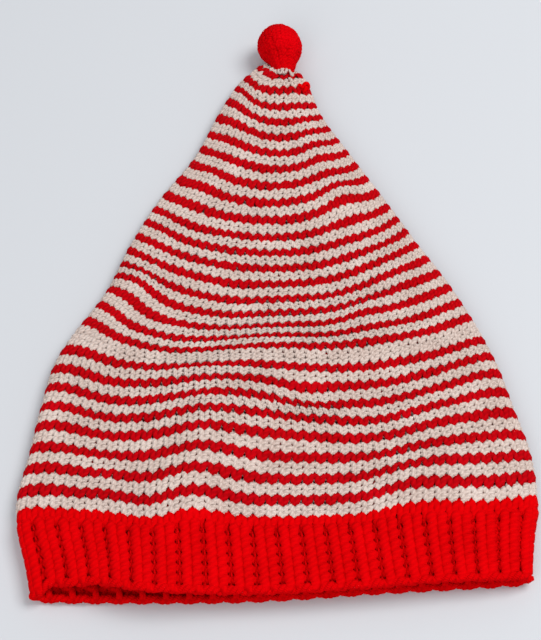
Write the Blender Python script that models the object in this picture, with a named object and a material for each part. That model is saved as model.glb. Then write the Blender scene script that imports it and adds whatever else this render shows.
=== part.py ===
"""A child's knitted nightcap, lying flat on a surface.

Three pieces: the striped crown, one hollow knitted shell that closes at the tip; the ribbed
brim, an open band that carries on from it; and the stuffed ball with its gathered neck.
Metres, +Z up. The cap lies on z = 0 with its tip towards +Y, the two layers of knitting
one above the other and hollow between them. The origin is under the middle of the cap.
"""
from math import cos, exp, pi, radians, sin

import bmesh
import bpy

# The cap as a whole
FLAT_WIDTH = 0.212          # across the brim, lying flat
HAT_LENGTH = 0.277          # from the brim's edge to the tip, without the ball
LOFT = 0.015                # how far the upper layer can stand up above its side folds

# The knitting
WALL = 0.0034               # thickness of the crown's fabric
FOLD_GAP = 0.0016           # space left between the two layers inside a side fold
JOIN_GAP = 0.0004           # clearance between neighbouring pieces

# The ribbed brim
BRIM_HEIGHT = 0.032         # from its edge to the first striped course
RIB_COUNT = 46              # ribs round the brim
RIB_DEPTH = 0.0012          # how far the furrows lie below the ribs
RIB_WALL = 0.0026           # thickness of the ribbed fabric at any one place
RIB_LEAN = 0.06             # sideways run of a rib for each metre along it
EDGE_OVERHANG = 0.0025      # how far the upper edge runs ahead of the lower one

# The ball
BALL_DIAMETER = 0.0225
BALL_FLAT = 0.0005          # how far the ball is pressed flat where it rests
NECK_DIAMETER = 0.0100
NECK_LENGTH = 0.0050        # gathered neck between the tip and the ball

NECK_WAIST = 0.85           # share of its diameter halfway to the ball
NECK_ANGLE = 151            # degrees of the ball's arc, from its far pole to the neck

# How finely the solids are faceted
UPPER_FACETS = 24           # of the crown, across its upper layer
LOWER_FACETS = 12
FOLD_FACETS = 4
CROWN_RINGS = 38
BRIM_RINGS = 5
POINTS_PER_RIB = 4
BALL_STEPS = 24
BALL_ARC_POINTS = 11

HALF_WIDTH = FLAT_WIDTH / 2
FOLD_THICKNESS = 2 * max(WALL, RIB_WALL + RIB_DEPTH) + FOLD_GAP
FOLD_RADIUS = FOLD_THICKNESS / 2
BALL_RADIUS = BALL_DIAMETER / 2

# Cross-sections from the brim's edge to the tip. "along" is a share of HAT_LENGTH; half_width,
# offset (of the middle to +X) and the two leads (how far a course's ends run towards the tip
# from its middle) are shares of HALF_WIDTH; loft is a share of LOFT.
SECTION_COLUMNS = ("along", "half_width", "offset", "left_lead", "right_lead", "loft")
SECTIONS = (
    (0.000, 0.945, 0.045, 0.005, 0.030, 0.30),
    (0.053, 0.970, 0.035, 0.005, 0.045, 0.28),
    (0.102, 0.995, 0.025, 0.000, 0.060, 0.26),
    (0.151, 1.000, 0.028, 0.000, 0.080, 0.24),
    (0.233, 0.975, 0.042, 0.020, 0.090, 0.20),
    (0.307, 0.940, 0.033, 0.060, 0.130, 0.17),
    (0.405, 0.880, 0.024, 0.130, 0.190, 0.15),
    (0.526, 0.720, 0.042, 0.200, 0.230, 0.16),
    (0.623, 0.600, 0.014, 0.185, 0.205, 0.22),
    (0.716, 0.470, 0.010, 0.170, 0.170, 0.26),
    (0.809, 0.325, 0.020, 0.140, 0.120, 0.28),
    (0.901, 0.210, 0.010, 0.120, 0.065, 0.32),
    (0.964, 0.155, 0.020, 0.045, 0.025, 0.36),
    (1.000, 0.135, 0.035, 0.000, 0.000, 0.36),
)

# Humps and ridges of the upper layer. Places and reaches are shares of HALF_WIDTH across and
# of HAT_LENGTH along; slant moves a ridge across as it runs along; rise is a share of LOFT.
HUMP_COLUMNS = ("across", "along", "reach_across", "reach_along", "slant", "rise")
HUMPS = (
    (-0.18, 0.307, 0.45, 0.110, 0.80, 0.95),
    (-0.40, 0.141, 0.18, 0.100, 0.80, 0.45),
    (0.80, 0.180, 0.36, 0.120, 0.00, 0.75),
    (0.50, 0.405, 0.35, 0.060, 0.00, 0.40),
    (-0.80, 0.405, 0.30, 0.060, 0.00, 0.50),
    (-0.62, 0.000, 0.30, 0.050, 0.00, 0.30),
)

# Where the upper edge of the brim runs ahead of the lower edge (1) or lies back from it (-1)
EDGE_COLUMNS = ("across", "reach", "overhang")
EDGE_RUNS = (
    (-0.62, 0.30, -1.0),
    (0.20, 0.55, 0.9),
)
EDGE_REACH = 0.07           # share of HAT_LENGTH over which that dies out

# How the crown rounds over at the tip, as shares of HAT_LENGTH and of the last section
TIP_START = 0.955
TIP_END_SHARE = 0.35
TIP_BLUNTNESS = 3           # 2 rounds it like an ellipse, more makes it squarer
INNER_TIP_START = 0.80      # from here the inner skin falls back by a wall's thickness
SHOULDER = 0.7              # how quickly the upper layer swells from a side fold; less is quicker
RING_CROWDING = 1.25        # above 1 the facets are shorter towards the tip

WOOL_RED = (0.72, 0.004, 0.010, 1.0)
BRIM_RED = (0.78, 0.004, 0.010, 1.0)
STRIPED_MIX = (0.62, 0.30, 0.27, 1.0)


def clear_scene():
    for old in list(bpy.data.objects):
        bpy.data.objects.remove(old, do_unlink=True)


def smooth_step(share):
    share = min(max(share, 0.0), 1.0)
    return share * share * (3 - 2 * share)


def section(name, along):
    """One column of SECTIONS at any place along the cap, on a smooth curve through its rows."""
    k = SECTION_COLUMNS.index(name)
    along = min(max(along, 0.0), 1.0)
    i = 0
    while SECTIONS[i + 1][0] < along:
        i += 1
    here, there = SECTIONS[i], SECTIONS[i + 1]
    before, after = SECTIONS[max(i - 1, 0)], SECTIONS[min(i + 2, len(SECTIONS) - 1)]
    span = there[0] - here[0]
    slope_here = (there[k] - before[k]) / (there[0] - before[0]) * span
    slope_there = (after[k] - here[k]) / (after[0] - here[0]) * span
    f = (along - here[0]) / span
    bend = (f * f * (3 - 2 * f)) * (there[k] - here[k])
    return here[k] + bend + f * (1 - f) * ((1 - f) * slope_here - f * slope_there)


def hump_rise(across, along):
    total = 0.0
    for row in HUMPS:
        hump = dict(zip(HUMP_COLUMNS, row))
        ahead = along - hump["along"]
        sideways = across - hump["across"] - hump["slant"] * ahead
        fall = (sideways / hump["reach_across"]) ** 2 + (ahead / hump["reach_along"]) ** 2
        total += hump["rise"] * exp(-fall)
    return total


def edge_run(across, along):
    total = 0.0
    for row in EDGE_RUNS:
        run = dict(zip(EDGE_COLUMNS, row))
        total += run["overhang"] * exp(-((across - run["across"]) / run["reach"]) ** 2)
    return total * EDGE_OVERHANG * exp(-(along / EDGE_REACH) ** 2)


def tip_share(along):
    """How much of the section is left as the crown rounds over: 1 until TIP_START."""
    if along <= TIP_START:
        return 1.0
    q = min((along - TIP_START) / (1 - TIP_START), 1.0)
    return max((1 - q ** TIP_BLUNTNESS) ** (1 / TIP_BLUNTNESS), TIP_END_SHARE)


def cap_point(round_share, along, inset):
    """A point of the cap's skin, or of the surface that lies inset below it.

    round_share runs once round the cap from the middle of the upper layer towards +X.
    """
    nominal_half = section("half_width", along) * HALF_WIDTH - FOLD_RADIUS
    arc = pi * FOLD_RADIUS
    distance = (round_share % 1.0) * (4 * nominal_half + 2 * arc)
    turn = 0.0
    side = 1
    if distance <= nominal_half:
        layer, across = "upper", distance / nominal_half
    elif distance < nominal_half + arc:
        layer, across, turn = "fold", 1.0, (distance - nominal_half) / FOLD_RADIUS
    elif distance <= 3 * nominal_half + arc:
        layer, across = "lower", 2 - (distance - arc) / nominal_half
    elif distance < 3 * nominal_half + 2 * arc:
        layer, across, side = "fold", -1.0, -1
        turn = pi - (distance - 3 * nominal_half - arc) / FOLD_RADIUS
    else:
        layer, across = "upper", (distance - 2 * arc) / nominal_half - 4
    lead_name = "right_lead" if across > 0 else "left_lead"
    bulge = FOLD_RADIUS * sin(turn) / (nominal_half + FOLD_RADIUS)
    reach = abs(across) * nominal_half / (nominal_half + FOLD_RADIUS) + bulge
    y = along * HAT_LENGTH + section(lead_name, along) * HALF_WIDTH * reach ** 2
    here = min(y / HAT_LENGTH, 1.0)
    half = section("half_width", here) * HALF_WIDTH - FOLD_RADIUS
    middle = section("offset", here) * HALF_WIDTH
    x = middle + across * half + side * (FOLD_RADIUS - inset) * sin(turn)
    top = FOLD_THICKNESS + LOFT * section("loft", here)
    if layer == "lower":
        z = inset
    elif layer == "fold":
        z = FOLD_RADIUS + (FOLD_RADIUS - inset) * cos(turn)
    else:
        edge = max(1 - across ** 2, 0.0) ** SHOULDER
        rise = edge * (section("loft", here) + hump_rise(across, here))
        z = FOLD_THICKNESS - inset + LOFT * rise
        y -= edge * edge_run(across, along)
    if inset > 0:
        y -= inset * smooth_step((along - INNER_TIP_START) / (1 - INNER_TIP_START))
    left = tip_share(along)
    return (middle + (x - middle) * left, y, top / 2 + (z - top / 2) * left)


def cap_perimeter(along):
    return 4 * (section("half_width", along) * HALF_WIDTH - FOLD_RADIUS) + 2 * pi * FOLD_RADIUS


def facet_share(facet, along):
    """How far round the cap a facet of the crown starts, with as many facets in each fold."""
    half = section("half_width", along) * HALF_WIDTH - FOLD_RADIUS
    stretches = (
        (UPPER_FACETS // 2, half),
        (FOLD_FACETS, pi * FOLD_RADIUS),
        (LOWER_FACETS, 2 * half),
        (FOLD_FACETS, pi * FOLD_RADIUS),
        (UPPER_FACETS // 2, half),
    )
    distance = 0.0
    for count, length in stretches:
        distance += length * min(max(facet, 0), count) / count
        facet -= count
    return distance / cap_perimeter(along)


def rolled_sheet(mesh, sides, rings, place):
    """A sheet of faces rolled into a tube: place(round_share, ring_share) gives each point."""
    grid = bmesh.ops.create_grid(mesh, x_segments=sides, y_segments=rings, size=0.5)
    for vertex in grid["verts"]:
        side = round((vertex.co.x + 0.5) * sides) % sides
        ring = round((vertex.co.y + 0.5) * rings)
        vertex.co = place(side, ring)
    bmesh.ops.remove_doubles(mesh, verts=grid["verts"], dist=1e-7)


def open_edges(mesh, low, high):
    """The boundary edges whose middles lie between two places along Y."""
    found = []
    for edge in mesh.edges:
        if edge.is_boundary and low <= (edge.verts[0].co.y + edge.verts[1].co.y) / 2 <= high:
            found.append(edge)
    return found


def knitted_shell(name, mesh, colour, roughness):
    bmesh.ops.recalc_face_normals(mesh, faces=mesh.faces)
    data = bpy.data.meshes.new(name)
    mesh.to_mesh(data)
    mesh.free()
    data.shade_smooth()
    material = bpy.data.materials.new(name)
    material.use_nodes = True
    shader = material.node_tree.nodes["Principled BSDF"]
    shader.inputs["Base Color"].default_value = colour
    shader.inputs["Roughness"].default_value = roughness
    shader.inputs["Metallic"].default_value = 0.0
    data.materials.append(material)
    piece = bpy.data.objects.new(name, data)
    bpy.context.scene.collection.objects.link(piece)
    return piece


def crown():
    """The striped crown: an outer and an inner skin, joined at the mouth, each closed at the tip."""
    start = (BRIM_HEIGHT + JOIN_GAP / 2) / HAT_LENGTH
    sides = UPPER_FACETS + LOWER_FACETS + 2 * FOLD_FACETS
    mesh = bmesh.new()
    for inset in (0.0, WALL):
        def place(side, ring):
            spread = 1 - (1 - ring / CROWN_RINGS) ** RING_CROWDING
            along = start + (1 - start) * spread
            return cap_point(facet_share(side, along), along, inset)
        rolled_sheet(mesh, sides, CROWN_RINGS, place)
    tip = HAT_LENGTH - 2 * WALL
    bmesh.ops.holes_fill(mesh, edges=open_edges(mesh, tip, HAT_LENGTH + WALL), sides=0)
    bmesh.ops.bridge_loops(mesh, edges=open_edges(mesh, -HAT_LENGTH, tip))
    return knitted_shell("crown", mesh, STRIPED_MIX, 0.9)


def brim():
    """The ribbed brim: a corrugated band, open at both ends, as thick at a rib as in a furrow."""
    end = (BRIM_HEIGHT - JOIN_GAP / 2) / HAT_LENGTH
    sides = RIB_COUNT * POINTS_PER_RIB
    mesh = bmesh.new()
    for wall in (0.0, RIB_WALL):
        def place(side, ring):
            along = end * ring / BRIM_RINGS
            furrow = RIB_DEPTH if side % POINTS_PER_RIB >= POINTS_PER_RIB / 2 else 0.0
            lean = RIB_LEAN * (end - along) * HAT_LENGTH / cap_perimeter(along)
            return cap_point(side / sides + lean, along, furrow + wall)
        rolled_sheet(mesh, sides, BRIM_RINGS, place)
    middle = BRIM_HEIGHT / 2
    bmesh.ops.bridge_loops(mesh, edges=open_edges(mesh, -HAT_LENGTH, middle))
    bmesh.ops.bridge_loops(mesh, edges=open_edges(mesh, middle, HAT_LENGTH))
    return knitted_shell("brim", mesh, BRIM_RED, 0.9)


def pompom():
    """The stuffed ball and its neck, turned as one, and bent down from the ball to the tip."""
    tip_x = section("offset", 1.0) * HALF_WIDTH
    tip_z = (FOLD_THICKNESS + LOFT * section("loft", 1.0)) / 2
    ball_z = BALL_RADIUS - BALL_FLAT
    root = HAT_LENGTH + JOIN_GAP
    centre = HAT_LENGTH + NECK_LENGTH + BALL_RADIUS
    neck_radius = NECK_DIAMETER / 2
    profile = [(root, 0.0), (root, neck_radius), (root + NECK_LENGTH / 2, neck_radius * NECK_WAIST)]
    for i in range(BALL_ARC_POINTS):
        angle = radians(NECK_ANGLE) * (1 - i / (BALL_ARC_POINTS - 1))
        profile.append((centre + BALL_RADIUS * cos(angle), BALL_RADIUS * sin(angle)))
    mesh = bmesh.new()
    points = [mesh.verts.new((0.0, y, radius)) for y, radius in profile]
    edges = [mesh.edges.new(pair) for pair in zip(points, points[1:])]
    bmesh.ops.spin(mesh, geom=points + edges, cent=(0, 0, 0), axis=(0, 1, 0), angle=2 * pi,
                   steps=BALL_STEPS, use_merge=True)
    bmesh.ops.remove_doubles(mesh, verts=mesh.verts, dist=1e-6)
    for vertex in mesh.verts:
        bend = smooth_step((vertex.co.y - root) / (centre - root))
        vertex.co.x += tip_x
        vertex.co.z = max(vertex.co.z + tip_z + (ball_z - tip_z) * bend, 0.0)
    return knitted_shell("pompom", mesh, WOOL_RED, 0.9)


def centre_on_origin(pieces):
    """Moves every mesh alike, so that the origin lies under the middle of the whole cap."""
    for axis in (0, 1):
        places = [vertex.co[axis] for piece in pieces for vertex in piece.data.vertices]
        middle = (min(places) + max(places)) / 2
        for piece in pieces:
            for vertex in piece.data.vertices:
                vertex.co[axis] -= middle


clear_scene()
centre_on_origin([crown(), brim(), pompom()])
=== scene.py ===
from math import cos, pi, radians, sin

import bmesh
import bpy
import numpy as np
from mathutils import Matrix, Vector


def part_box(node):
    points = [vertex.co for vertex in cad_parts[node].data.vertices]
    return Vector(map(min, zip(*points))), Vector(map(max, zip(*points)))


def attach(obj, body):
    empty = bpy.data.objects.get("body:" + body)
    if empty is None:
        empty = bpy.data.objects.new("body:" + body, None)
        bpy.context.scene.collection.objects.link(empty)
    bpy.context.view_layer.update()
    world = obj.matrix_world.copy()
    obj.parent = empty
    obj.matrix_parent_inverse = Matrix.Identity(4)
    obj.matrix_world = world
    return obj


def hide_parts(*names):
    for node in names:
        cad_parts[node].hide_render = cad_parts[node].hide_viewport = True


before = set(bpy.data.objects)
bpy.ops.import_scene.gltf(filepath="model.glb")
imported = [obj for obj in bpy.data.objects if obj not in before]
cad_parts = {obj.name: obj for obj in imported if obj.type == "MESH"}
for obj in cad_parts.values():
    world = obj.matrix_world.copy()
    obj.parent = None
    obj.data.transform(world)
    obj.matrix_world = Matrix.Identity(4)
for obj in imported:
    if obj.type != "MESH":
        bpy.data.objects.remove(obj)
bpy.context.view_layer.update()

# Brim: the cap is begun here, with a cast-on edge of two twisted strands and six rounds of knit one,
# purl one in red yarn, which stand up as narrow ribs. The knitting lies flat, one layer on the other,
# and every round is laid over that form.
FLAT_WIDTH = 0.212
HAT_LENGTH = 0.277
LOFT = 0.015
BRIM_WALL = 0.0038
FOLD_GAP = 0.0016
EDGE_OVERHANG = 0.0025
NECK_LENGTH = 0.0050
BALL_DIAMETER = 0.0225
HALF_WIDTH = FLAT_WIDTH / 2
FOLD_THICKNESS = 2 * BRIM_WALL + FOLD_GAP
FOLD_RADIUS = FOLD_THICKNESS / 2

# The form's sections from the brim (0) to the tip (1), in shares of HALF_WIDTH and LOFT. A side's
# lead is how far its rounds run ahead of the middle.
SECTION_COLUMNS = ("along", "half_width", "offset", "left_lead", "right_lead", "loft")
SECTIONS = (
    (0.000, 0.945, 0.045, 0.005, 0.032, 0.30),
    (0.053, 0.970, 0.035, 0.005, 0.050, 0.28),
    (0.102, 1.000, 0.025, 0.000, 0.062, 0.26),
    (0.151, 1.026, 0.026, 0.000, 0.085, 0.24),
    (0.233, 1.007, 0.038, 0.020, 0.090, 0.20),
    (0.307, 0.972, 0.028, 0.060, 0.130, 0.17),
    (0.405, 0.912, 0.022, 0.130, 0.190, 0.15),
    (0.526, 0.755, 0.042, 0.200, 0.230, 0.16),
    (0.623, 0.636, 0.016, 0.185, 0.205, 0.22),
    (0.716, 0.510, 0.008, 0.170, 0.170, 0.26),
    (0.809, 0.366, 0.014, 0.145, 0.120, 0.28),
    (0.901, 0.252, -0.004, 0.130, 0.065, 0.32),
    (0.964, 0.190, 0.010, 0.060, 0.025, 0.36),
    (1.000, 0.165, 0.045, 0.000, 0.000, 0.36),
)
SECTION_SAMPLES = 400
SHOULDER = 0.7
TIP_START = 0.93
TIP_END_SHARE = 0.30
TIP_BLUNTNESS = 1.5

# Soft humps of the upper layer; slant shears a hump sideways on its way up the cap
HUMP_COLUMNS = ("across", "along", "reach_across", "reach_along", "slant", "amount")
HUMPS = (
    (-0.18, 0.307, 0.45, 0.110, 0.80, 0.95),
    (-0.40, 0.141, 0.18, 0.100, 0.80, 0.45),
    (0.80, 0.180, 0.36, 0.120, 0.00, 0.75),
    (0.50, 0.405, 0.35, 0.060, 0.00, 0.40),
    (-0.80, 0.405, 0.30, 0.060, 0.00, 0.50),
    (-0.62, 0.000, 0.30, 0.050, 0.00, 0.30),
)

# Where the upper layer's edge hangs over the lower one's: (across, spread, times EDGE_OVERHANG)
EDGE_RUNS = ((-1.00, 0.07, -9.0), (-0.85, 0.19, -3.4), (-0.40, 0.30, 0.25), (0.35, 0.55, 0.45))
EDGE_RISE = 0.0046
EDGE_RISE_PLACE = 0.12
EDGE_RISE_REACH = 0.35
EDGE_REACH = 0.07


def bell(place, middle, spread):
    return np.exp(-((place - middle) / spread) ** 2)


def unit(vectors):
    return vectors / np.linalg.norm(vectors, axis=-1, keepdims=True)


def sampled_columns():
    """Every column of SECTIONS on a smooth curve through its rows, ready for np.interp."""
    rows = np.array(SECTIONS)
    places = np.linspace(0, 1, SECTION_SAMPLES + 1)
    columns = {"along": places}
    for k, name in enumerate(SECTION_COLUMNS[1:], 1):
        slope = np.empty(len(rows))
        slope[1:-1] = (rows[2:, k] - rows[:-2, k]) / (rows[2:, 0] - rows[:-2, 0])
        slope[0] = (rows[1, k] - rows[0, k]) / (rows[1, 0] - rows[0, 0])
        slope[-1] = (rows[-1, k] - rows[-2, k]) / (rows[-1, 0] - rows[-2, 0])
        i = np.clip(np.searchsorted(rows[:, 0], places) - 1, 0, len(rows) - 2)
        span = rows[i + 1, 0] - rows[i, 0]
        f = (places - rows[i, 0]) / span
        bend = f * f * (3 - 2 * f) * (rows[i + 1, k] - rows[i, k])
        lean = f * (1 - f) * span * ((1 - f) * slope[i] - f * slope[i + 1])
        columns[name] = rows[i, k] + bend + lean
    return columns


SMOOTH_SECTIONS = sampled_columns()

# The ball's place in the frame gives the place of the whole cap: its tip lies just below the ball
ball_low, ball_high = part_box("pompom")
TIP_ASIDE = 0.035
TIP_X = TIP_ASIDE * HALF_WIDTH
SHIFT_X = (ball_low[0] + ball_high[0]) / 2 - TIP_X
SHIFT_Y = ball_high[1] - (HAT_LENGTH + NECK_LENGTH + BALL_DIAMETER)


def section(name, along):
    return np.interp(along, SMOOTH_SECTIONS["along"], SMOOTH_SECTIONS[name])


def summed_bumps(columns, rows, across, along):
    """Soft bumps added up. Slant shears a bump sideways and tilt turns it against the rounds."""
    total = np.zeros_like(across)
    for row in rows:
        bump = dict(zip(columns, row))
        sideways = across - bump["across"]
        ahead = along - bump["along"] - bump.get("tilt", 0.0) * sideways
        sideways = sideways - bump.get("slant", 0.0) * ahead
        fall = (sideways / bump["reach_across"]) ** 2 + (ahead / bump["reach_along"]) ** 2
        total += bump["amount"] * np.exp(-fall)
    return total


def tip_share(along):
    """What is left of the width and height where the cap closes at its tip."""
    q = np.clip((along - TIP_START) / (1 - TIP_START), 0, 1)
    return np.maximum((1 - q ** TIP_BLUNTNESS) ** (1 / TIP_BLUNTNESS), TIP_END_SHARE)


UPPER_RIGHT, RIGHT_FOLD, LOWER, LEFT_FOLD, UPPER_LEFT = range(5)


def layer_places(share, flat_half):
    """For a share of the way round: the part of the flat tube, the place across, the turn in a fold."""
    arc = pi * FOLD_RADIUS
    distance = (share % 1.0) * (4 * flat_half + 2 * arc)
    right_end = flat_half + arc
    left_start = 3 * flat_half + arc
    reached = [distance <= flat_half, distance < right_end,
               distance <= left_start, distance < left_start + arc]
    part = np.select(reached, [UPPER_RIGHT, RIGHT_FOLD, LOWER, LEFT_FOLD], UPPER_LEFT)
    across = np.choose(part, [
        distance / flat_half,
        1.0,
        2 - (distance - arc) / flat_half,
        -1.0,
        (distance - 2 * arc) / flat_half - 4,
    ])
    turn = np.where(part == RIGHT_FOLD, (distance - flat_half) / FOLD_RADIUS, 0.0)
    turn = np.where(part == LEFT_FOLD, pi - (distance - left_start) / FOLD_RADIUS, turn)
    return part, across, turn


def cap_form(share, along, inset, ahead):
    """Points of the cap's form, inset below its skin; share goes once round the cap."""
    flat_half = section("half_width", along) * HALF_WIDTH - FOLD_RADIUS
    part, across, turn = layer_places(share, flat_half)
    upper = (part == UPPER_RIGHT) | (part == UPPER_LEFT)
    full_half = flat_half + FOLD_RADIUS
    reach = np.abs(across) * flat_half / full_half + FOLD_RADIUS * np.sin(turn) / full_half
    lead = np.where(across > 0, section("right_lead", along), section("left_lead", along))
    y = along * HAT_LENGTH + ahead + lead * HALF_WIDTH * reach ** 2
    here = np.clip(y / HAT_LENGTH, 0.0, 1.0)
    half = section("half_width", here) * HALF_WIDTH - FOLD_RADIUS
    middle = section("offset", here) * HALF_WIDTH
    side = np.where(part == LEFT_FOLD, -1, 1)
    x = middle + across * half + side * (FOLD_RADIUS - inset) * np.sin(turn)
    edge = np.clip(1 - across ** 2, 0, 1) ** SHOULDER
    loft = section("loft", here)
    z_upper = FOLD_THICKNESS - inset
    z_upper = z_upper + LOFT * edge * (loft + summed_bumps(HUMP_COLUMNS, HUMPS, across, here))
    z_fold = FOLD_RADIUS + (FOLD_RADIUS - inset) * np.cos(turn)
    z = np.where(upper, z_upper, np.where(part == LOWER, inset, z_fold))
    near_edge = bell(along, 0.0, EDGE_REACH)
    overhang = sum(run * bell(across, place, spread) for place, spread, run in EDGE_RUNS)
    y = y - np.where(upper, edge * overhang * EDGE_OVERHANG * near_edge, 0.0)
    climb = 0.5 + 0.5 * np.tanh((reach * np.sign(across) - EDGE_RISE_PLACE) / EDGE_RISE_REACH)
    y = y + EDGE_RISE * climb * near_edge
    mid_height = (FOLD_THICKNESS + LOFT * loft) / 2
    left = tip_share(along)
    return np.stack([
        middle + (x - middle) * left + SHIFT_X,
        y + SHIFT_Y,
        mid_height + (z - mid_height) * left,
    ], axis=-1)


# Where each round lies: rounds are counted from the first striped one, brim rounds below zero
ROUND_PLACES = (
    (-8.5, -0.0154),
    (-7.5, 0.0000),
    (0.0, 0.1155),
    (12.0, 0.248),
    (24.0, 0.361),
    (28.0, 0.4025),
    (40.0, 0.507),
    (52.0, 0.628),
    (64.0, 0.770),
    (76.0, 0.908),
    (82.0, 0.979),
    (86.0, 1.0),
)

# The upper layer's rounds don't run level: they drift towards the tip (+) or the brim (-)
DRIFT_COLUMNS = ("across", "along", "reach_across", "reach_along", "amount")
DRIFTS = (
    (0.62, 0.21, 0.16, 0.14, 0.0025),
    (0.36, 0.265, 0.16, 0.05, -0.0012),
    (0.90, 0.28, 0.22, 0.11, 0.0072),
    (1.00, 0.13, 0.14, 0.07, 0.0040),
    (-0.90, 0.15, 0.20, 0.10, 0.0058),
    (-0.92, 0.30, 0.18, 0.11, 0.0062),
    (-0.96, 0.42, 0.19, 0.06, 0.0045),
    (-0.80, 0.475, 0.16, 0.035, 0.0042),
    (-0.46, 0.13, 0.10, 0.05, -0.0026),
    (0.76, 0.49, 0.20, 0.06, 0.0022),
    (0.60, 0.67, 0.18, 0.045, 0.0042),
    (0.42, 0.455, 0.12, 0.020, 0.0020),
    (0.52, 0.785, 0.20, 0.06, 0.0022),
    (-0.62, 0.70, 0.20, 0.05, 0.0022),
    (-0.80, 0.60, 0.15, 0.04, 0.0015),
    (0.48, 0.15, 0.12, 0.05, 0.0030),
    (-0.30, 0.19, 0.14, 0.12, 0.0028),
    (-0.64, 0.15, 0.14, 0.06, 0.0025),
    (0.10, 0.31, 0.14, 0.03, -0.0030),
    (-0.50, 0.43, 0.25, 0.06, -0.0032),
    (-0.25, 0.48, 0.20, 0.07, -0.0020),
    (0.25, 0.43, 0.15, 0.05, -0.0015),
    (0.55, 0.50, 0.20, 0.06, 0.0023),
    (0.45, 0.68, 0.25, 0.12, 0.0022),
    (-0.50, 0.80, 0.35, 0.10, 0.0032),
    (-0.60, 0.87, 0.45, 0.06, 0.0025),
    (-1.00, 0.90, 0.60, 0.080, 0.0028),
    (-0.60, 0.90, 0.25, 0.04, 0.0014),
    (-1.00, 0.985, 0.80, 0.050, 0.0065),
    (1.00, 0.970, 0.70, 0.035, 0.0050),
)

# Small folds across the upper layer
CREASE_COLUMNS = ("across", "along", "reach_across", "reach_along", "tilt", "amount")
CREASES = (
    (-0.45, 0.345, 0.28, 0.022, 0.0, 0.0013),
    (-0.45, 0.405, 0.28, 0.022, 0.0, -0.0013),
    (0.05, 0.395, 0.30, 0.020, 0.0, 0.0012),
    (0.00, 0.455, 0.35, 0.025, 0.0, -0.0012),
    (0.11, 0.285, 0.14, 0.014, -0.1, 0.0010),
    (0.11, 0.320, 0.14, 0.014, -0.1, -0.0010),
)
SHARE_NUDGE = 1e-3
LEVEL_NUDGE = 0.05


def along_cap(level):
    return np.interp(level - 0.5, *zip(*ROUND_PLACES))


def across_at(share):
    """0 in the middle of the upper layer, about -1 and 1 at the folds, beyond them on the lower layer."""
    return ((share + 0.5) % 1.0 - 0.5) * 4


def fabric(share, level, inset):
    """A point of the knitting and the way out of it, at a wale's place and a round's place."""
    def point(s, v):
        across = across_at(s)
        along = along_cap(v)
        laid = cap_form(s, along, inset, summed_bumps(DRIFT_COLUMNS, DRIFTS, across, along))
        upper = np.clip(1 - across ** 2, 0, 1) ** 0.5
        laid[..., 2] += upper * summed_bumps(CREASE_COLUMNS, CREASES, across, along)
        return laid
    round_the_cap = point(share + SHARE_NUDGE, level) - point(share - SHARE_NUDGE, level)
    up_the_cap = point(share, level + LEVEL_NUDGE) - point(share, level - LEVEL_NUDGE)
    return point(share, level), unit(np.cross(round_the_cap, up_the_cap))


TUBE_SIDES = 5
TUBE_STEPS = 12
YARN_SWELL = 0.06
STITCH_NUDGE = 0.01
SEAM_REACH = 1e-6


def yarn_rings(name, rounds, steps=TUBE_STEPS):
    """One flat ribbon of faces for each round: x goes round the yarn, y counts stitches, z rounds."""
    ribbon = bmesh.new()
    for level, stitches in rounds:
        grid = bmesh.ops.create_grid(ribbon, x_segments=TUBE_SIDES, y_segments=steps * stitches,
                                     size=0.5)
        lay = Matrix.Translation((0.5, stitches / 2, level)) @ Matrix.Diagonal((1, stitches, 1, 1))
        bmesh.ops.transform(ribbon, matrix=lay, verts=grid["verts"])
    data = bpy.data.meshes.new(name)
    ribbon.to_mesh(data)
    ribbon.free()
    places = np.empty(3 * len(data.vertices))
    data.vertices.foreach_get("co", places)
    corners = np.empty(len(data.loops), dtype=int)
    data.loops.foreach_get("vertex_index", corners)
    places = places.reshape(-1, 3)
    yarn_map = data.uv_layers.new(name="yarn")
    yarn_map.data.foreach_set("uv", places[corners][:, :2].ravel())
    return data, places


def wrap_yarn(data, places, path, width, thickness):
    """Turns the flat ribbons into closed tubes of yarn that follow path(stitch, round)."""
    around, stitch, level = places.T
    centre, out = path(stitch, level)
    ahead, _ = path(stitch + STITCH_NUDGE, level)
    behind, _ = path(stitch - STITCH_NUDGE, level)
    tangent = unit(ahead - behind)
    sideways = unit(np.cross(tangent, out))
    upright = np.cross(sideways, tangent)
    angle = 2 * pi * around
    swell = 1 - YARN_SWELL * np.cos(4 * pi * stitch)
    wide = width / 2 * swell * np.cos(angle)
    thick = thickness / 2 * np.sin(angle)
    laid = centre + wide[:, None] * sideways + thick[:, None] * upright
    laid[:, 2] = np.maximum(laid[:, 2], 0.0)
    data.vertices.foreach_set("co", laid.ravel())
    tube = bmesh.new()
    tube.from_mesh(data)
    bmesh.ops.remove_doubles(tube, verts=tube.verts, dist=SEAM_REACH)
    bmesh.ops.recalc_face_normals(tube, faces=tube.faces)
    tube.to_mesh(data)
    tube.free()
    data.shade_smooth()
    piece = bpy.data.objects.new(data.name, data)
    bpy.context.scene.collection.objects.link(piece)
    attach(piece, "root")
    return piece


class Value:
    """A shader socket that can be added and multiplied."""
    def __init__(self, finish, socket):
        self.finish = finish
        self.socket = socket

    def maths(self, operation, a, b):
        return self.finish.node("ShaderNodeMath", {"operation": operation}, {0: a, 1: b})

    def __add__(self, other):
        return self.maths("ADD", self, other)

    def __radd__(self, other):
        return self.maths("ADD", other, self)

    def __mul__(self, other):
        return self.maths("MULTIPLY", self, other)

    def __rmul__(self, other):
        return self.maths("MULTIPLY", other, self)


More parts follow.
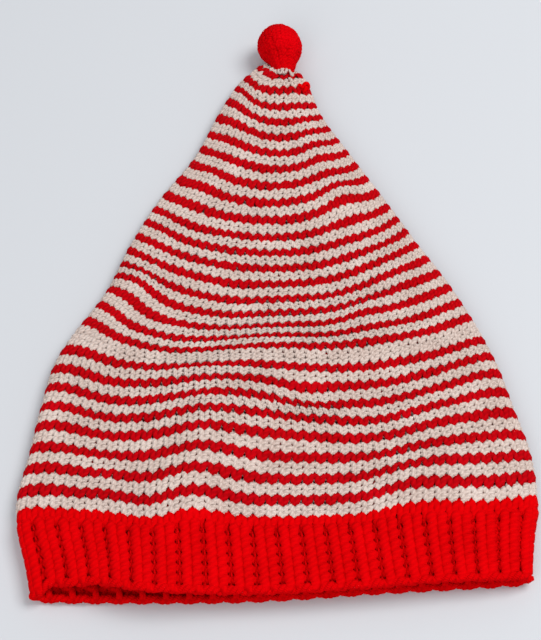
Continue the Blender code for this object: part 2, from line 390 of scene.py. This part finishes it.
class Finish:
    """A material whose nodes are added one call at a time."""
    def __init__(self, name):
        self.material = bpy.data.materials.new(name)
        self.material.use_nodes = True
        self.tree = self.material.node_tree
        self.shader = self.tree.nodes["Principled BSDF"]

    def put(self, socket, value):
        if isinstance(value, Value):
            self.tree.links.new(value.socket, socket)
        else:
            socket.default_value = value

    def node(self, kind, settings=None, inputs=None, output=0):
        made = self.tree.nodes.new(kind)
        for key, value in (settings or {}).items():
            setattr(made, key, value)
        for key, value in (inputs or {}).items():
            self.put(made.inputs[key], value)
        return Value(self, made.outputs[output])


PLY_TURNS = 11.0
# Painted shade: how far the colour is darkened towards the deep colour in the grooves between the twisted
# strands
PLY_GROOVE_SHADE = 0.55
FIBRE_TINT = 0.45
PLY_HEIGHT = 0.7
FIBRE_HEIGHT = 0.3
FIBRE_SCALE = 2600.0
FIBRE_DETAIL = 3.0
DYE_SCALE = 90.0
DYE_DETAIL = 2.0
RELIEF_DEPTH = 0.0004
YARN_ROUGHNESS = 0.9
SHEEN_ROUGHNESS = 0.5


def yarn_finish(name, shade, light, groove_shade_and_fibre_tone, relief, specular, sheen):
    """Plied yarn: two strands twisted round each other, fine fibres, and uneven dye. The grooves between
    the strands are darkened towards the deep colour as painted shade; the fibres vary the tone at random.
    """
    finish = Finish(name)
    body = finish.node("ShaderNodeTexCoord", output="Object")

    def noise(scale, detail):
        return finish.node("ShaderNodeTexNoise", inputs={"Vector": body, "Scale": scale, "Detail": detail})

    def tinted(share, base, tint):
        colours = {"Factor": share, 6: base, 7: tint}
        return finish.node("ShaderNodeMix", {"data_type": "RGBA"}, colours, output=2)

    where = finish.node("ShaderNodeUVMap", {"uv_map": "yarn"})
    parts = finish.node("ShaderNodeSeparateXYZ", inputs={0: where})
    round_yarn = Value(finish, parts.socket.node.outputs["X"])
    along_yarn = Value(finish, parts.socket.node.outputs["Y"])
    turns = 2 * round_yarn + PLY_TURNS * along_yarn
    ply = 0.5 + 0.5 * finish.node("ShaderNodeMath", {"operation": "SINE"}, {0: 2 * pi * turns})
    fibres = noise(FIBRE_SCALE, FIBRE_DETAIL)
    dye = noise(DYE_SCALE, DYE_DETAIL)
    # Painted shade: the ply pattern darkens the colour in the grooves between the strands; the fibre noise
    # gives the yarn's own uneven darker tone
    colour = tinted(PLY_GROOVE_SHADE * ply + FIBRE_TINT * fibres, groove_shade_and_fibre_tone, shade)
    height = PLY_HEIGHT * ply + FIBRE_HEIGHT * fibres
    bump = finish.node("ShaderNodeBump", inputs={
        "Strength": relief, "Distance": RELIEF_DEPTH, "Height": height,
    })
    finish.put(finish.shader.inputs["Base Color"], tinted(dye * dye, colour, light))
    finish.put(finish.shader.inputs["Normal"], bump)
    finish.put(finish.shader.inputs["Roughness"], YARN_ROUGHNESS)
    finish.put(finish.shader.inputs["Specular IOR Level"], specular)
    finish.put(finish.shader.inputs["Sheen Weight"], sheen)
    finish.put(finish.shader.inputs["Sheen Roughness"], SHEEN_ROUGHNESS)
    return finish.material


# deep: painted shade for the grooves between the plies, and the fibres' own darker tone
RED_YARN = yarn_finish("red_yarn", shade=(0.67, 0.0, 0.001, 1), light=(0.76, 0.0, 0.002, 1),
                       groove_shade_and_fibre_tone=(0.48, 0.0, 0.001, 1), relief=0.6, specular=0.02, sheen=0.0)

BRIM_WALES = 88
BRIM_ROUNDS = 7.5
RIB_LEVELS = range(-1, -7, -1)
RIB_REACH = 0.80
RIB_BULGE = 0.135
RIB_CLOSENESS = 0.035
RIB_YARN = 0.0047
RIB_YARN_THICKNESS = 0.0027
PURL_YARN = 0.0027
RIB_DIP = 0.0008
RIB_RELIEF = 0.0004
RIB_STEEPNESS = 4
TUCK_STEEPNESS = 6
KNIT_SHARE = 0.90
# At the edge the ribs lie aside of where they start: (across, spread, share of the way round)
RIB_LEANS = ((-0.45, 0.25, -0.0075), (0.55, 0.45, 0.0095))


def knit_or_purl(stitch):
    """1 on a knit loop, -1 on a purl one, 0 where the yarn goes through from one to the next."""
    sides = np.where(np.floor(stitch) % 2 == 0, 1.0, -1.0)
    return sides * np.tanh(RIB_STEEPNESS * np.sin(pi * (stitch % 1.0)))


def rib_path(stitch, level):
    """Knit one, purl one: the loop lies in front of the fabric in one wale and behind in the next."""
    wale = np.floor(stitch)
    place = stitch - wale
    turn = 2 * pi * place
    wale = wale % BRIM_WALES
    is_knit = wale % 2 == 0
    left = np.where(is_knit, wale, wale - 1 + 2 * KNIT_SHARE)
    width = np.where(is_knit, 2 * KNIT_SHARE, 2 - 2 * KNIT_SHARE)
    here = level - RIB_REACH * np.cos(turn)
    aside = RIB_BULGE * np.sin(2 * turn) + RIB_CLOSENESS * np.sin(turn)
    share = (left + width * (place + aside)) / BRIM_WALES
    across = across_at(share)
    for middle, spread, lean in RIB_LEANS:
        share = share + lean * bell(across, middle, spread) * (0.5 - here) / BRIM_ROUNDS
    point, out = fabric(share, here, BRIM_WALL / 2)
    tuck = 2 * np.cos(turn) ** TUCK_STEEPNESS - 1
    rise = knit_or_purl(stitch) * (RIB_RELIEF - RIB_DIP * tuck)
    return point + out * rise[:, None], out


rib_rounds = [(float(level), BRIM_WALES) for level in RIB_LEVELS]
data, places = yarn_rings("ribbing", rib_rounds)
rib_width = (RIB_YARN + PURL_YARN) / 2 + (RIB_YARN - PURL_YARN) / 2 * knit_or_purl(places[:, 1])
ribbing = wrap_yarn(data, places, rib_path, rib_width, RIB_YARN_THICKNESS)

CAST_ON_LEVEL = -6.75
CAST_ON_TWIST = 0.0007
CAST_ON_WAVE = 0.0011
CAST_ON_STRAND = 0.0024


def cast_on_path(stitch, strand):
    """The first edge: two strands twisted once for each stitch, waved by the ribs."""
    turn = 2 * pi * stitch + pi * strand
    share = stitch / BRIM_WALES
    level = np.full_like(stitch, CAST_ON_LEVEL)
    point, out = fabric(share, level, BRIM_WALL / 2)
    ahead, _ = fabric(share + SHARE_NUDGE, level, BRIM_WALL / 2)
    down = np.cross(out, unit(ahead - point))
    rise = CAST_ON_TWIST * np.cos(turn) + CAST_ON_WAVE * np.cos(pi * stitch)
    drop = CAST_ON_TWIST * np.sin(turn)
    return point + out * rise[:, None] + down * drop[:, None], out


cast_on = wrap_yarn(*yarn_rings("cast_on_edge", [(0.0, BRIM_WALES), (1.0, BRIM_WALES)]),
                    cast_on_path, CAST_ON_STRAND, CAST_ON_STRAND)
for piece in (ribbing, cast_on):
    piece.data.materials.append(RED_YARN)
    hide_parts("brim")

# Crown: stocking stitch in two yarns, two rounds of off-white and then one of red, again and again to
# the tip, with one band of three white rounds a third of the way up. Wales are knitted together one by
# one on the way, spread round the cap, until a few are left at the tip.
CROWN_WALL = 0.0034
CROWN_WALES = 90
CROWN_YARN = 0.0025
CROWN_YARN_THICKNESS = 0.0017
CROWN_DIP = 0.00088
RED_CROWN_YARN = 0.0028
RED_REACH = 0.90
STITCH_REACH = 0.77
STITCH_SLANT = 0.245
STITCH_CLOSENESS = 0.02
EVEN_SPACING = 0.0029
THINNEST = 0.72
THICKEST = 1.09
YARN_NARROWING = 0.20
LAST_ROUND = 84
MIDDLE_START = 24
MIDDLE_END = 48
STRIPE_ROUNDS = 3
STRIPES_BELOW_BAND = 8
STRIPES_ABOVE_BAND = 20
BAND_START = STRIPE_ROUNDS * STRIPES_BELOW_BAND
BAND_MIDDLE = BAND_START + 2
BAND_END = BAND_START + STRIPE_ROUNDS + 1
RED_ROUND_SPREAD = 0.20

# Wales end one after another, each as far as it can be from the last ones that ended
WALE_NARROWING = 0.12
MERGE_ROUNDS = 3.0
MERGE_LEFT = 0.25
FIRST_MERGE = 0.31
GOLDEN_SHARE = (5 ** 0.5 - 1) / 2
NEVER = 1e3
LEVEL_STEP = 0.25


def wale_lives():
    """The round after which each wale of the crown is knitted into its neighbour."""
    levels = np.arange(0, LAST_ROUND + 1)
    along = along_cap(levels)
    half = section("half_width", along) * HALF_WIDTH - FOLD_RADIUS
    perimeter = (4 * half + 2 * pi * FOLD_RADIUS) * tip_share(along)
    width = perimeter[0] / CROWN_WALES * (1 - WALE_NARROWING * levels / LAST_ROUND)
    wanted = np.minimum.accumulate(np.minimum(perimeter / width, CROWN_WALES))
    lives = np.full(CROWN_WALES, NEVER)
    place = FIRST_MERGE
    for level, count in zip(levels, wanted):
        while np.sum(lives == NEVER) > count:
            place = (place + GOLDEN_SHARE) % 1.0
            away = np.abs((np.arange(CROWN_WALES) / CROWN_WALES - place + 0.5) % 1.0 - 0.5)
            pick = next(wale for wale in np.argsort(away) if lives[wale] == NEVER)
            lives[pick] = level + 0.5
    return lives


LIVES = wale_lives()
LEVELS = np.arange(-2, LAST_ROUND + 3, LEVEL_STEP)
WEIGHTS = np.clip((LIVES[None, :] - LEVELS[:, None]) / MERGE_ROUNDS + MERGE_LEFT, 0.0, 1.0)
WIDTHS = WEIGHTS / WEIGHTS.sum(axis=1, keepdims=True)
LEFTS = np.cumsum(WIDTHS, axis=1) - WIDTHS
LEFTS -= (LEFTS - np.arange(CROWN_WALES) / CROWN_WALES).mean(axis=1, keepdims=True)

# Hand knitting is never quite even: each loop strays a little, and so does each round
STRAY = np.random.default_rng(5).normal(size=(3, LAST_ROUND + 1, CROWN_WALES)).clip(-2, 2)
STRAY_AHEAD = 0.07
STRAY_ASIDE = 0.035
STRAY_REACH = 0.07
# (height in rounds, waves round the cap, shift from round to round)
ROUND_WAVES = ((0.06, 5, 2.4), (0.05, 11, 4.1))


def round_waves(share, level):
    return sum(height * np.sin(2 * pi * count * share + shift * level)
               for height, count, shift in ROUND_WAVES)


def is_red(level):
    """Every third round is red; after the wide band the count starts one round later."""
    return np.where(level < BAND_MIDDLE, level, level - 1) % STRIPE_ROUNDS == 0


def spread_rounds(level):
    """Red rounds stand a little taller than white ones."""
    last = BAND_END + STRIPE_ROUNDS * STRIPES_ABOVE_BAND
    counts = np.cumsum((0, STRIPES_BELOW_BAND, 1, STRIPES_ABOVE_BAND))
    stripes = np.interp(level, (0, BAND_START, BAND_END, last), counts)
    return level + RED_ROUND_SPREAD * np.sin(2 * pi * stripes)


def live_wales(level):
    return np.flatnonzero(LIVES > level)


def between_levels(table, level, wale):
    i = (level - LEVELS[0]) / LEVEL_STEP
    low = np.clip(np.floor(i).astype(int), 0, len(LEVELS) - 2)
    f = np.clip(i - low, 0, 1)
    return table[low, wale] * (1 - f) + table[low + 1, wale] * f


def stocking_path(stitch, level):
    """One loop for each wale that is still alive in this round."""
    count = np.floor(stitch)
    place = stitch - count
    turn = 2 * pi * place
    wale = np.empty(len(stitch), dtype=int)
    for one in np.unique(level):
        here = level == one
        alive = live_wales(one)
        wale[here] = alive[(count[here] % len(alive)).astype(int)]
    ahead, aside, bigger = STRAY[:, level.astype(int), wale] * np.sin(pi * place) ** 2
    loop_reach = np.where(is_red(level), RED_REACH, STITCH_REACH) * (1 + STRAY_REACH * bigger)
    reach = level + STRAY_AHEAD * ahead - loop_reach * np.cos(turn)
    left = between_levels(LEFTS, reach, wale)
    width = between_levels(WIDTHS, reach, wale)
    legs = STITCH_SLANT * np.sin(2 * turn) + STITCH_CLOSENESS * np.sin(turn)
    share = left + width * (place + STRAY_ASIDE * aside + legs)
    point, out = fabric(share, spread_rounds(reach + round_waves(share, level)), CROWN_WALL / 2)
    return point - out * (CROWN_DIP * np.cos(2 * turn))[:, None], out


def fitted_yarn(yarn, rounds, places):
    """The yarn is pulled thinner where the rounds lie close, and all the way up the cap."""
    stitch, level = places[:, 1], places[:, 2]
    share = stitch / np.interp(level, *zip(*rounds))
    above, _ = fabric(share, level + 1, CROWN_WALL / 2)
    below, _ = fabric(share, level - 1, CROWN_WALL / 2)
    spacing = np.linalg.norm(above - below, axis=-1) / 2
    fitted = yarn * np.clip(spacing / EVEN_SPACING, THINNEST, THICKEST)
    return fitted * (1 - YARN_NARROWING * level / LAST_ROUND)


# deep: painted shade for the grooves between the plies, and the fibres' own darker tone
WHITE_YARN = yarn_finish("off_white_yarn", shade=(0.68, 0.54, 0.475, 1), light=(0.82, 0.70, 0.635, 1),
                         groove_shade_and_fibre_tone=(0.37, 0.26, 0.215, 1), relief=0.9, specular=0.2, sheen=0.2)
# The crown's red rounds are the brim's red yarn, painted darker to stand for the shade between the crown's
# stitches (painted shade)
SHADED_STRIPE_YARN = yarn_finish("red_stripe_yarn_painted_shade", shade=(0.52, 0.0, 0.003, 1), light=(0.64, 0.001, 0.006, 1),
                          groove_shade_and_fibre_tone=(0.24, 0.0, 0.001, 1), relief=0.9, specular=0.04, sheen=0.0)

for name, first, last, red in (
    ("red_rounds_lower", 1, MIDDLE_START, True),
    ("red_rounds_upper", MIDDLE_START + 1, LAST_ROUND, True),
    ("white_rounds_lower", 1, MIDDLE_START, False),
    ("white_rounds_middle", MIDDLE_START + 1, MIDDLE_END, False),
    ("white_rounds_upper", MIDDLE_END + 1, LAST_ROUND, False),
):
    levels = [level for level in range(first, last + 1) if is_red(level) == red]
    rounds = [(float(level), len(live_wales(level))) for level in levels]
    data, places = yarn_rings(name, rounds)
    yarn_width = fitted_yarn(RED_CROWN_YARN if red else CROWN_YARN, rounds, places)
    knitting = wrap_yarn(data, places, stocking_path, yarn_width, CROWN_YARN_THICKNESS)
    # The red rounds take the darker red, painted shade for the gaps between the stitches
    knitting.data.materials.append(SHADED_STRIPE_YARN if red else WHITE_YARN)
    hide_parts("crown")

# Top round of the brim: one plain round in the brim's red yarn, made in the crown's own stitch. It
# joins the ribs to the first white round.
TOP_ROUND_YARN = 0.0033
top_round = wrap_yarn(*yarn_rings("brim_top_round", [(0.0, CROWN_WALES)]),
                      stocking_path, TOP_ROUND_YARN, CROWN_YARN_THICKNESS)
top_round.data.materials.append(RED_YARN)
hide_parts("brim")

# Gathered loops: the last off-white loops of the crown, drawn in round the foot of the ball's neck
# with the end of their yarn, and laid back over the cap like petals.
TIP = np.array([SHIFT_X + TIP_X, SHIFT_Y + HAT_LENGTH, 0.0])
GATHERED_AT = TIP + (0.0030, 0.0006, 0.0080)
GATHERED_LOOPS = 9
GATHERED_STEPS = 24
GATHERED_NEAR = 0.0024
GATHERED_FAR = 0.0050
GATHERED_DROP = 0.0047
GATHERED_CURL = 1.4
GATHERED_HALF = 0.0012
GATHERED_YARN = 0.0015
GATHERED_YARN_THICKNESS = 0.0013
GATHERED_STRAY = 0.22
GATHERED_STRAY_TURN = 3.7
GATHERED_LIFT = 0.3
GATHERED_LEAN = (0, 0.5, 0)


def spoke_at(angle):
    """A direction square to the cap's length."""
    return np.stack([np.cos(angle), 0 * angle, np.sin(angle)], axis=-1)


def gathered_path(stitch, loop):
    turn = 2 * pi * stitch
    away = 0.5 - 0.5 * np.cos(turn)
    stray = GATHERED_STRAY * np.sin(GATHERED_STRAY_TURN * loop)
    round_neck = 2 * pi * (loop + stray) / GATHERED_LOOPS
    spoke = spoke_at(round_neck)
    run = GATHERED_NEAR + (GATHERED_FAR - GATHERED_NEAR) * np.sin(pi / 2 * away)
    back = np.stack([0 * turn, -GATHERED_DROP * away ** GATHERED_CURL, 0 * turn], axis=-1)
    aside = (GATHERED_HALF * np.sin(turn))[:, None] * spoke_at(round_neck + pi / 2)
    out = unit(spoke * (GATHERED_LIFT + away[:, None]) + GATHERED_LEAN)
    return GATHERED_AT + spoke * run[:, None] + back + aside, out


gathered_rounds = [(float(loop), 1) for loop in range(GATHERED_LOOPS)]
gathered = wrap_yarn(*yarn_rings("gathered_loops", gathered_rounds, GATHERED_STEPS),
                     gathered_path, GATHERED_YARN, GATHERED_YARN_THICKNESS)
gathered.data.materials.append(WHITE_YARN)
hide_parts("crown")

# Tip knot: the end of the crown's red yarn, brought through to the outside when the last round was
# done and tied off in a small knot beside the tip.
KNOT_PLACE = 0.186
KNOT_LEVEL = 79.4
KNOT_STEPS = 60
KNOT_RADIUS = 0.0010
KNOT_LOBE = 1.6
KNOT_DEPTH = 1.1
KNOT_LIFT = 0.5
KNOT_YARN = 0.0023
KNOT_YARN_THICKNESS = 0.0021
knot_at, _ = fabric(np.array([KNOT_PLACE]), np.array([KNOT_LEVEL]), 0.0)


def knot_path(stitch, _):
    turn = 2 * pi * stitch
    middle = np.stack([
        np.sin(turn) + KNOT_LOBE * np.sin(2 * turn),
        np.cos(turn) - KNOT_LOBE * np.cos(2 * turn),
        KNOT_LIFT - KNOT_DEPTH * np.sin(3 * turn),
    ], axis=-1) * KNOT_RADIUS
    return knot_at + middle, unit(middle)


knot = wrap_yarn(*yarn_rings("tip_knot", [(0.0, 1)], KNOT_STEPS),
                 knot_path, KNOT_YARN, KNOT_YARN_THICKNESS)
knot.data.materials.append(RED_YARN)
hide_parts("crown")

# Ball: a small knitted bag of the same red yarn, stuffed with yarn ends into a firm ball, and drawn
# together below into a short neck that is sewn into the tip.
BALL_RADIUS = BALL_DIAMETER / 2
BALL_SKIN_DEPTH = 0.0011
BALL_SKIN = BALL_RADIUS - BALL_SKIN_DEPTH
BALL_SHIFT = (0.0007, -0.0006, 0.0)
BALL_CENTRE = np.array([TIP[0], ball_high[1] - BALL_RADIUS, ball_high[2] - BALL_RADIUS]) + BALL_SHIFT
POLE_OPENING = 0.12
NECK_FOOT = TIP + (0.0036, -0.0020, 0.0075)
NECK_FOOT_RADIUS = 0.0030
NECK_TOP_RADIUS = 0.0072
NECK_FLARE = 1.3
NECK_SWING = 0.0015
NECK_ROUNDS = 3.5
BALL_YARN = 0.0031
BALL_YARN_THICKNESS = 0.0021
BALL_WALES = 16
BALL_ROUNDS = 15
BALL_DIP = 0.00030
BALL_BULGE = 0.21
BALL_SHARE_NUDGE = 0.002
BALL_STRAY = np.random.default_rng(11).normal(size=(3, BALL_ROUNDS + 1, BALL_WALES)).clip(-2, 2)
BALL_STRAY_REACH = 0.16
BALL_LUMPS = 0.025
LUMP_TURN = 1.1
LUMP_SWELL = 0.9
LUMP_START = 0.6
# Every second wale lives only between these rounds, and each of four in turn starts and ends later
WALE_START = 3.5
WALE_START_SPREAD = 2.1
WALE_END = 13.0
WALE_END_SPREAD = 1.6
WALE_RAMP = 1.5
WALE_LEAST = 0.02


def ball_wales(level):
    """Widths of the wales: every second one lives only round the ball's middle."""
    rounds = np.reshape(level, (-1, 1))
    wale = np.arange(BALL_WALES)
    start = WALE_START + WALE_START_SPREAD * (wale * 3 % 4) / 4
    end = WALE_END + WALE_END_SPREAD * (wale * 5 % 4) / 4
    weight = np.clip((rounds - start) / WALE_RAMP, WALE_LEAST, 1)
    weight = weight * np.clip((end - rounds) / WALE_RAMP, WALE_LEAST, 1)
    weight = np.where(wale % 2 == 0, 1.0, weight)
    return weight / weight.sum(axis=1, keepdims=True)


def ball_form(share, level):
    """From the neck's foot up the neck, which opens into the ball, and on to the ball's far pole."""
    on_neck = level < NECK_ROUNDS
    neck_share = np.clip(level / NECK_ROUNDS, 0, 1)
    rounding = np.clip((level - NECK_ROUNDS) / (BALL_ROUNDS - NECK_ROUNDS), 0, 1)
    first = np.arcsin(NECK_TOP_RADIUS / BALL_SKIN)
    polar = first + (pi - POLE_OPENING - first) * rounding
    neck_radius = NECK_FOOT_RADIUS + (NECK_TOP_RADIUS - NECK_FOOT_RADIUS) * neck_share ** NECK_FLARE
    radius = np.where(on_neck, neck_radius, BALL_SKIN * np.sin(polar))
    top_of_neck = BALL_CENTRE + (NECK_SWING, -BALL_SKIN * cos(first), 0)
    neck = NECK_FOOT + (top_of_neck - NECK_FOOT) * neck_share[:, None]
    swing = NECK_SWING * (1 - rounding) ** 4
    middle = BALL_CENTRE + np.stack([swing, -BALL_SKIN * np.cos(polar), 0 * polar], axis=-1)
    middle = np.where(on_neck[:, None], neck, middle)
    angle = 2 * pi * share
    lumps = np.sin(2 * angle + LUMP_TURN * level) * np.sin(LUMP_SWELL * level + LUMP_START)
    radius = radius * (1 + BALL_LUMPS * lumps)
    return middle + radius[:, None] * spoke_at(angle)


def ball_path(stitch, level):
    """The ball's own loops, worked the other way round, the knit side out."""
    wale = np.floor(stitch).astype(int) % BALL_WALES
    place = stitch - np.floor(stitch)
    turn = 2 * pi * place
    stray = BALL_STRAY_REACH * np.sin(pi * place) ** 2
    ahead, aside, higher = BALL_STRAY[:, level.astype(int), wale] * stray
    reach = level + ahead - STITCH_REACH * np.cos(turn)
    widths = ball_wales(reach)
    rows = np.arange(len(stitch))
    left = (np.cumsum(widths, axis=1) - widths)[rows, wale]
    share = -left - widths[rows, wale] * (place + aside + BALL_BULGE * np.sin(2 * turn))
    round_it = ball_form(share - BALL_SHARE_NUDGE, reach) - ball_form(share + BALL_SHARE_NUDGE, reach)
    up_it = ball_form(share, reach + LEVEL_NUDGE) - ball_form(share, reach - LEVEL_NUDGE)
    out = unit(np.cross(round_it, up_it))
    rise = BALL_DIP * (2 * higher - np.cos(2 * turn))
    return ball_form(share, reach) + out * rise[:, None], out


ball_rounds = [(float(level), BALL_WALES) for level in range(1, BALL_ROUNDS + 1)]
knitted_ball = wrap_yarn(*yarn_rings("ball_knitting", ball_rounds),
                         ball_path, BALL_YARN, BALL_YARN_THICKNESS)

STUFFING_SIDES = 48
STUFFING_RINGS = 32
stuffing = bmesh.new()
bmesh.ops.create_uvsphere(stuffing, u_segments=STUFFING_SIDES, v_segments=STUFFING_RINGS,
                          radius=BALL_SKIN)
bmesh.ops.translate(stuffing, verts=stuffing.verts, vec=BALL_CENTRE)
data = bpy.data.meshes.new("ball_stuffing")
stuffing.to_mesh(data)
stuffing.free()
data.shade_smooth()
data.uv_layers.new(name="yarn")
ball = bpy.data.objects.new("ball_stuffing", data)
bpy.context.scene.collection.objects.link(ball)
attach(ball, "root")
# deep: painted shade for the grooves between the plies, and the fibres' own darker tone
BALL_RED = yarn_finish("ball_red_yarn", shade=(0.68, 0.0, 0.002, 1), light=(0.80, 0.0, 0.004, 1),
                       groove_shade_and_fibre_tone=(0.34, 0.0, 0.001, 1), relief=0.7, specular=0.02, sheen=0.0)
for piece in (knitted_ball, ball):
    piece.data.materials.append(BALL_RED)
    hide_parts("pompom")

# Surface, light and camera: the cap lies on a plain pale sheet under soft light from above, and is
# seen from the brim's side as in the photograph.
SHEET_SIZE = 3.0
SHEET_COLOUR = (0.56, 0.575, 0.60, 1)
SHEET_ROUGHNESS = 0.7
SKY_COLOUR = (0.95, 0.97, 1.0, 1)
SKY_STRENGTH = 0.55
floor_mesh = bmesh.new()
bmesh.ops.create_grid(floor_mesh, x_segments=1, y_segments=1, size=SHEET_SIZE)
data = bpy.data.meshes.new("floor")
floor_mesh.to_mesh(data)
floor_mesh.free()
floor = bpy.data.objects.new("floor", data)
bpy.context.scene.collection.objects.link(floor)
sheet_finish = Finish("floor_sheet")
sheet_finish.put(sheet_finish.shader.inputs["Base Color"], SHEET_COLOUR)
sheet_finish.put(sheet_finish.shader.inputs["Roughness"], SHEET_ROUGHNESS)
floor.data.materials.append(sheet_finish.material)

world = bpy.data.worlds.new("studio")
world.use_nodes = True
sky = world.node_tree.nodes["Background"]
sky.inputs["Color"].default_value = SKY_COLOUR
sky.inputs["Strength"].default_value = SKY_STRENGTH
bpy.context.scene.world = world


def soft_light(name, place, size, power):
    """A square lamp that points at the middle of the scene."""
    lamp = bpy.data.lights.new(name, "AREA")
    lamp.shape = "SQUARE"
    lamp.size = size
    lamp.energy = power
    holder = bpy.data.objects.new(name, lamp)
    holder.location = place
    holder.rotation_euler = (-Vector(place)).to_track_quat("-Z", "Y").to_euler()
    bpy.context.scene.collection.objects.link(holder)


soft_light("key", (0.9, 0.3, 1.5), size=0.9, power=22)
soft_light("fill", (-0.5, -1.2, 1.0), size=1.2, power=10)

CAMERA_TILT = radians(58.0)
CAMERA_DISTANCE = 0.62
AIM_ALONG = 0.135
AIM = Vector((SHIFT_X, SHIFT_Y + AIM_ALONG, 0.0))
SENSOR = 36.0
FOCAL_LENGTH_PX = 1362
PHOTO_HEIGHT_PX = 640
camera_data = bpy.data.cameras.new("camera")
camera_data.sensor_width = SENSOR
camera_data.lens = SENSOR * FOCAL_LENGTH_PX / PHOTO_HEIGHT_PX
camera_data.dof.use_dof = False
camera = bpy.data.objects.new("camera", camera_data)
camera.location = AIM + CAMERA_DISTANCE * Vector((0, -cos(CAMERA_TILT), sin(CAMERA_TILT)))
camera.rotation_euler = (pi / 2 - CAMERA_TILT, 0, 0)
bpy.context.scene.collection.objects.link(camera)
bpy.context.scene.camera = camera
bpy.context.scene.view_settings.view_transform = "Standard"
